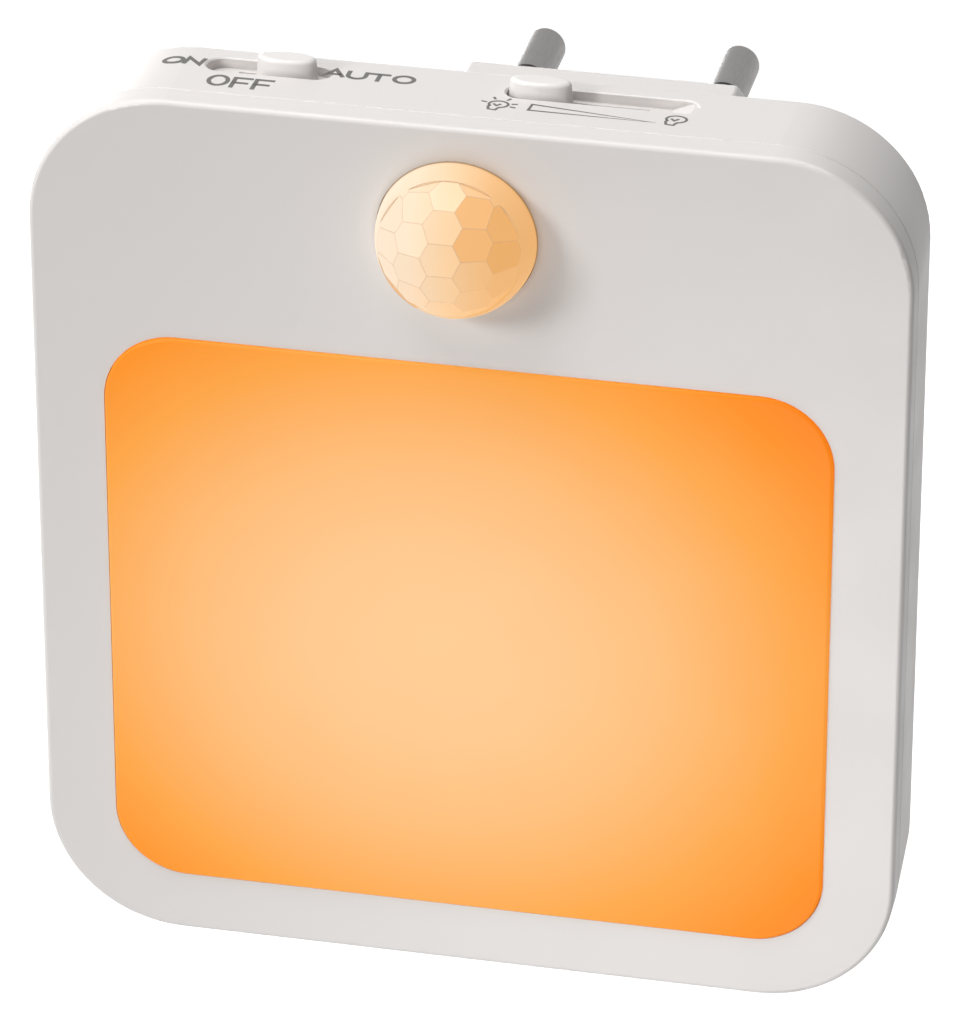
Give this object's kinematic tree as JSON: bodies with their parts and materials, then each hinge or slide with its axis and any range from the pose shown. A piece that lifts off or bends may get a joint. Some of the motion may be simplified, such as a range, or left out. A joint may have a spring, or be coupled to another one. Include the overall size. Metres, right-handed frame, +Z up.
{
  "type": "plug in night light",
  "caption": "Slim rounded-square plug-in night light with a glowing front panel, a faceted movement-sensor dome, a mode slider and a dimmer slider on top, and a round-pin plug block behind.",
  "frame": {"origin": "centre of the plug block's rear face, midway between the two pins", "axes": "+Y into the wall along the pins, +Z up, +X to the right of someone facing the lamp; the lit face looks along -Y"},
  "size_m": [0.0816, 0.0583, 0.0888],
  "materials": {
    "case_white": "fine satin moulded ABS",
    "diffuser_opal": "opal, lit warm orange from behind",
    "lens_polyethylene": "translucent polyethylene",
    "knob_white": "satin moulded ABS",
    "shutter_white": "matt",
    "reflector_white": "matt white",
    "retainer_white": "matt white",
    "spacer_black": "matt",
    "sensor_can": "satin nickel plated",
    "sensor_window": "dark coated silicon",
    "light_sensor_clear": "clear epoxy",
    "board_laminate": "white solder mask",
    "led_phosphor": "white package with yellow phosphor",
    "switch_black": "glass filled nylon",
    "lever_white": "acetal",
    "film_capacitor": "epoxy filled box",
    "electrolytic_sleeve": "shrink sleeve",
    "epoxy_black": "moulded epoxy",
    "resistor_ceramic": "glazed chip",
    "fuse_body": "lacquered",
    "pin_nickel": "nickel plated brass",
    "sleeve_black": "insulating sleeve",
    "contact_brass": "stamped strip",
    "screw_steel": "zinc plated"
  },
  "bodies": {
    "housing": {"front_cover": "case_white", "rear_housing": "case_white", "diffuser_panel": "diffuser_opal", "reflector_frame": "reflector_white", "pir_dome": "lens_polyethylene", "dome_retainer": "retainer_white", "pir_sensor": "sensor_can", "pir_filter_window": "sensor_window", "pir_spacer": "spacer_black", "light_sensor": "light_sensor_clear", "main_board": "board_laminate", "leds": "led_phosphor", "mode_switch_body": "switch_black", "dimmer_body": "switch_black", "dropper_capacitor": "film_capacitor", "smoothing_capacitor": "electrolytic_sleeve", "bridge_rectifier": "epoxy_black", "control_chip": "epoxy_black", "smd_resistors": "resistor_ceramic", "fuse_resistor": "fuse_body", "live_pin": "pin_nickel", "neutral_pin": "pin_nickel", "live_pin_sleeve": "sleeve_black", "neutral_pin_sleeve": "sleeve_black", "live_contact": "contact_brass", "neutral_contact": "contact_brass", "housing_screws": "screw_steel", "board_screws": "screw_steel"},
    "mode_slider": {"mode_knob": "knob_white", "mode_shutter": "shutter_white", "mode_switch_lever": "lever_white"},
    "dimmer_slider": {"dimmer_knob": "knob_white", "dimmer_shutter": "shutter_white", "dimmer_lever": "lever_white"}
  },
  "joints": [
    {"name": "mode_slide", "type": "slide", "parent": "housing", "child": "mode_slider", "axis": [1, 0, 0], "range_m": [-0.0034, 0]},
    {"name": "dimmer_slide", "type": "slide", "parent": "housing", "child": "dimmer_slider", "axis": [1, 0, 0], "range_m": [0, 0.0085]}
  ]
}
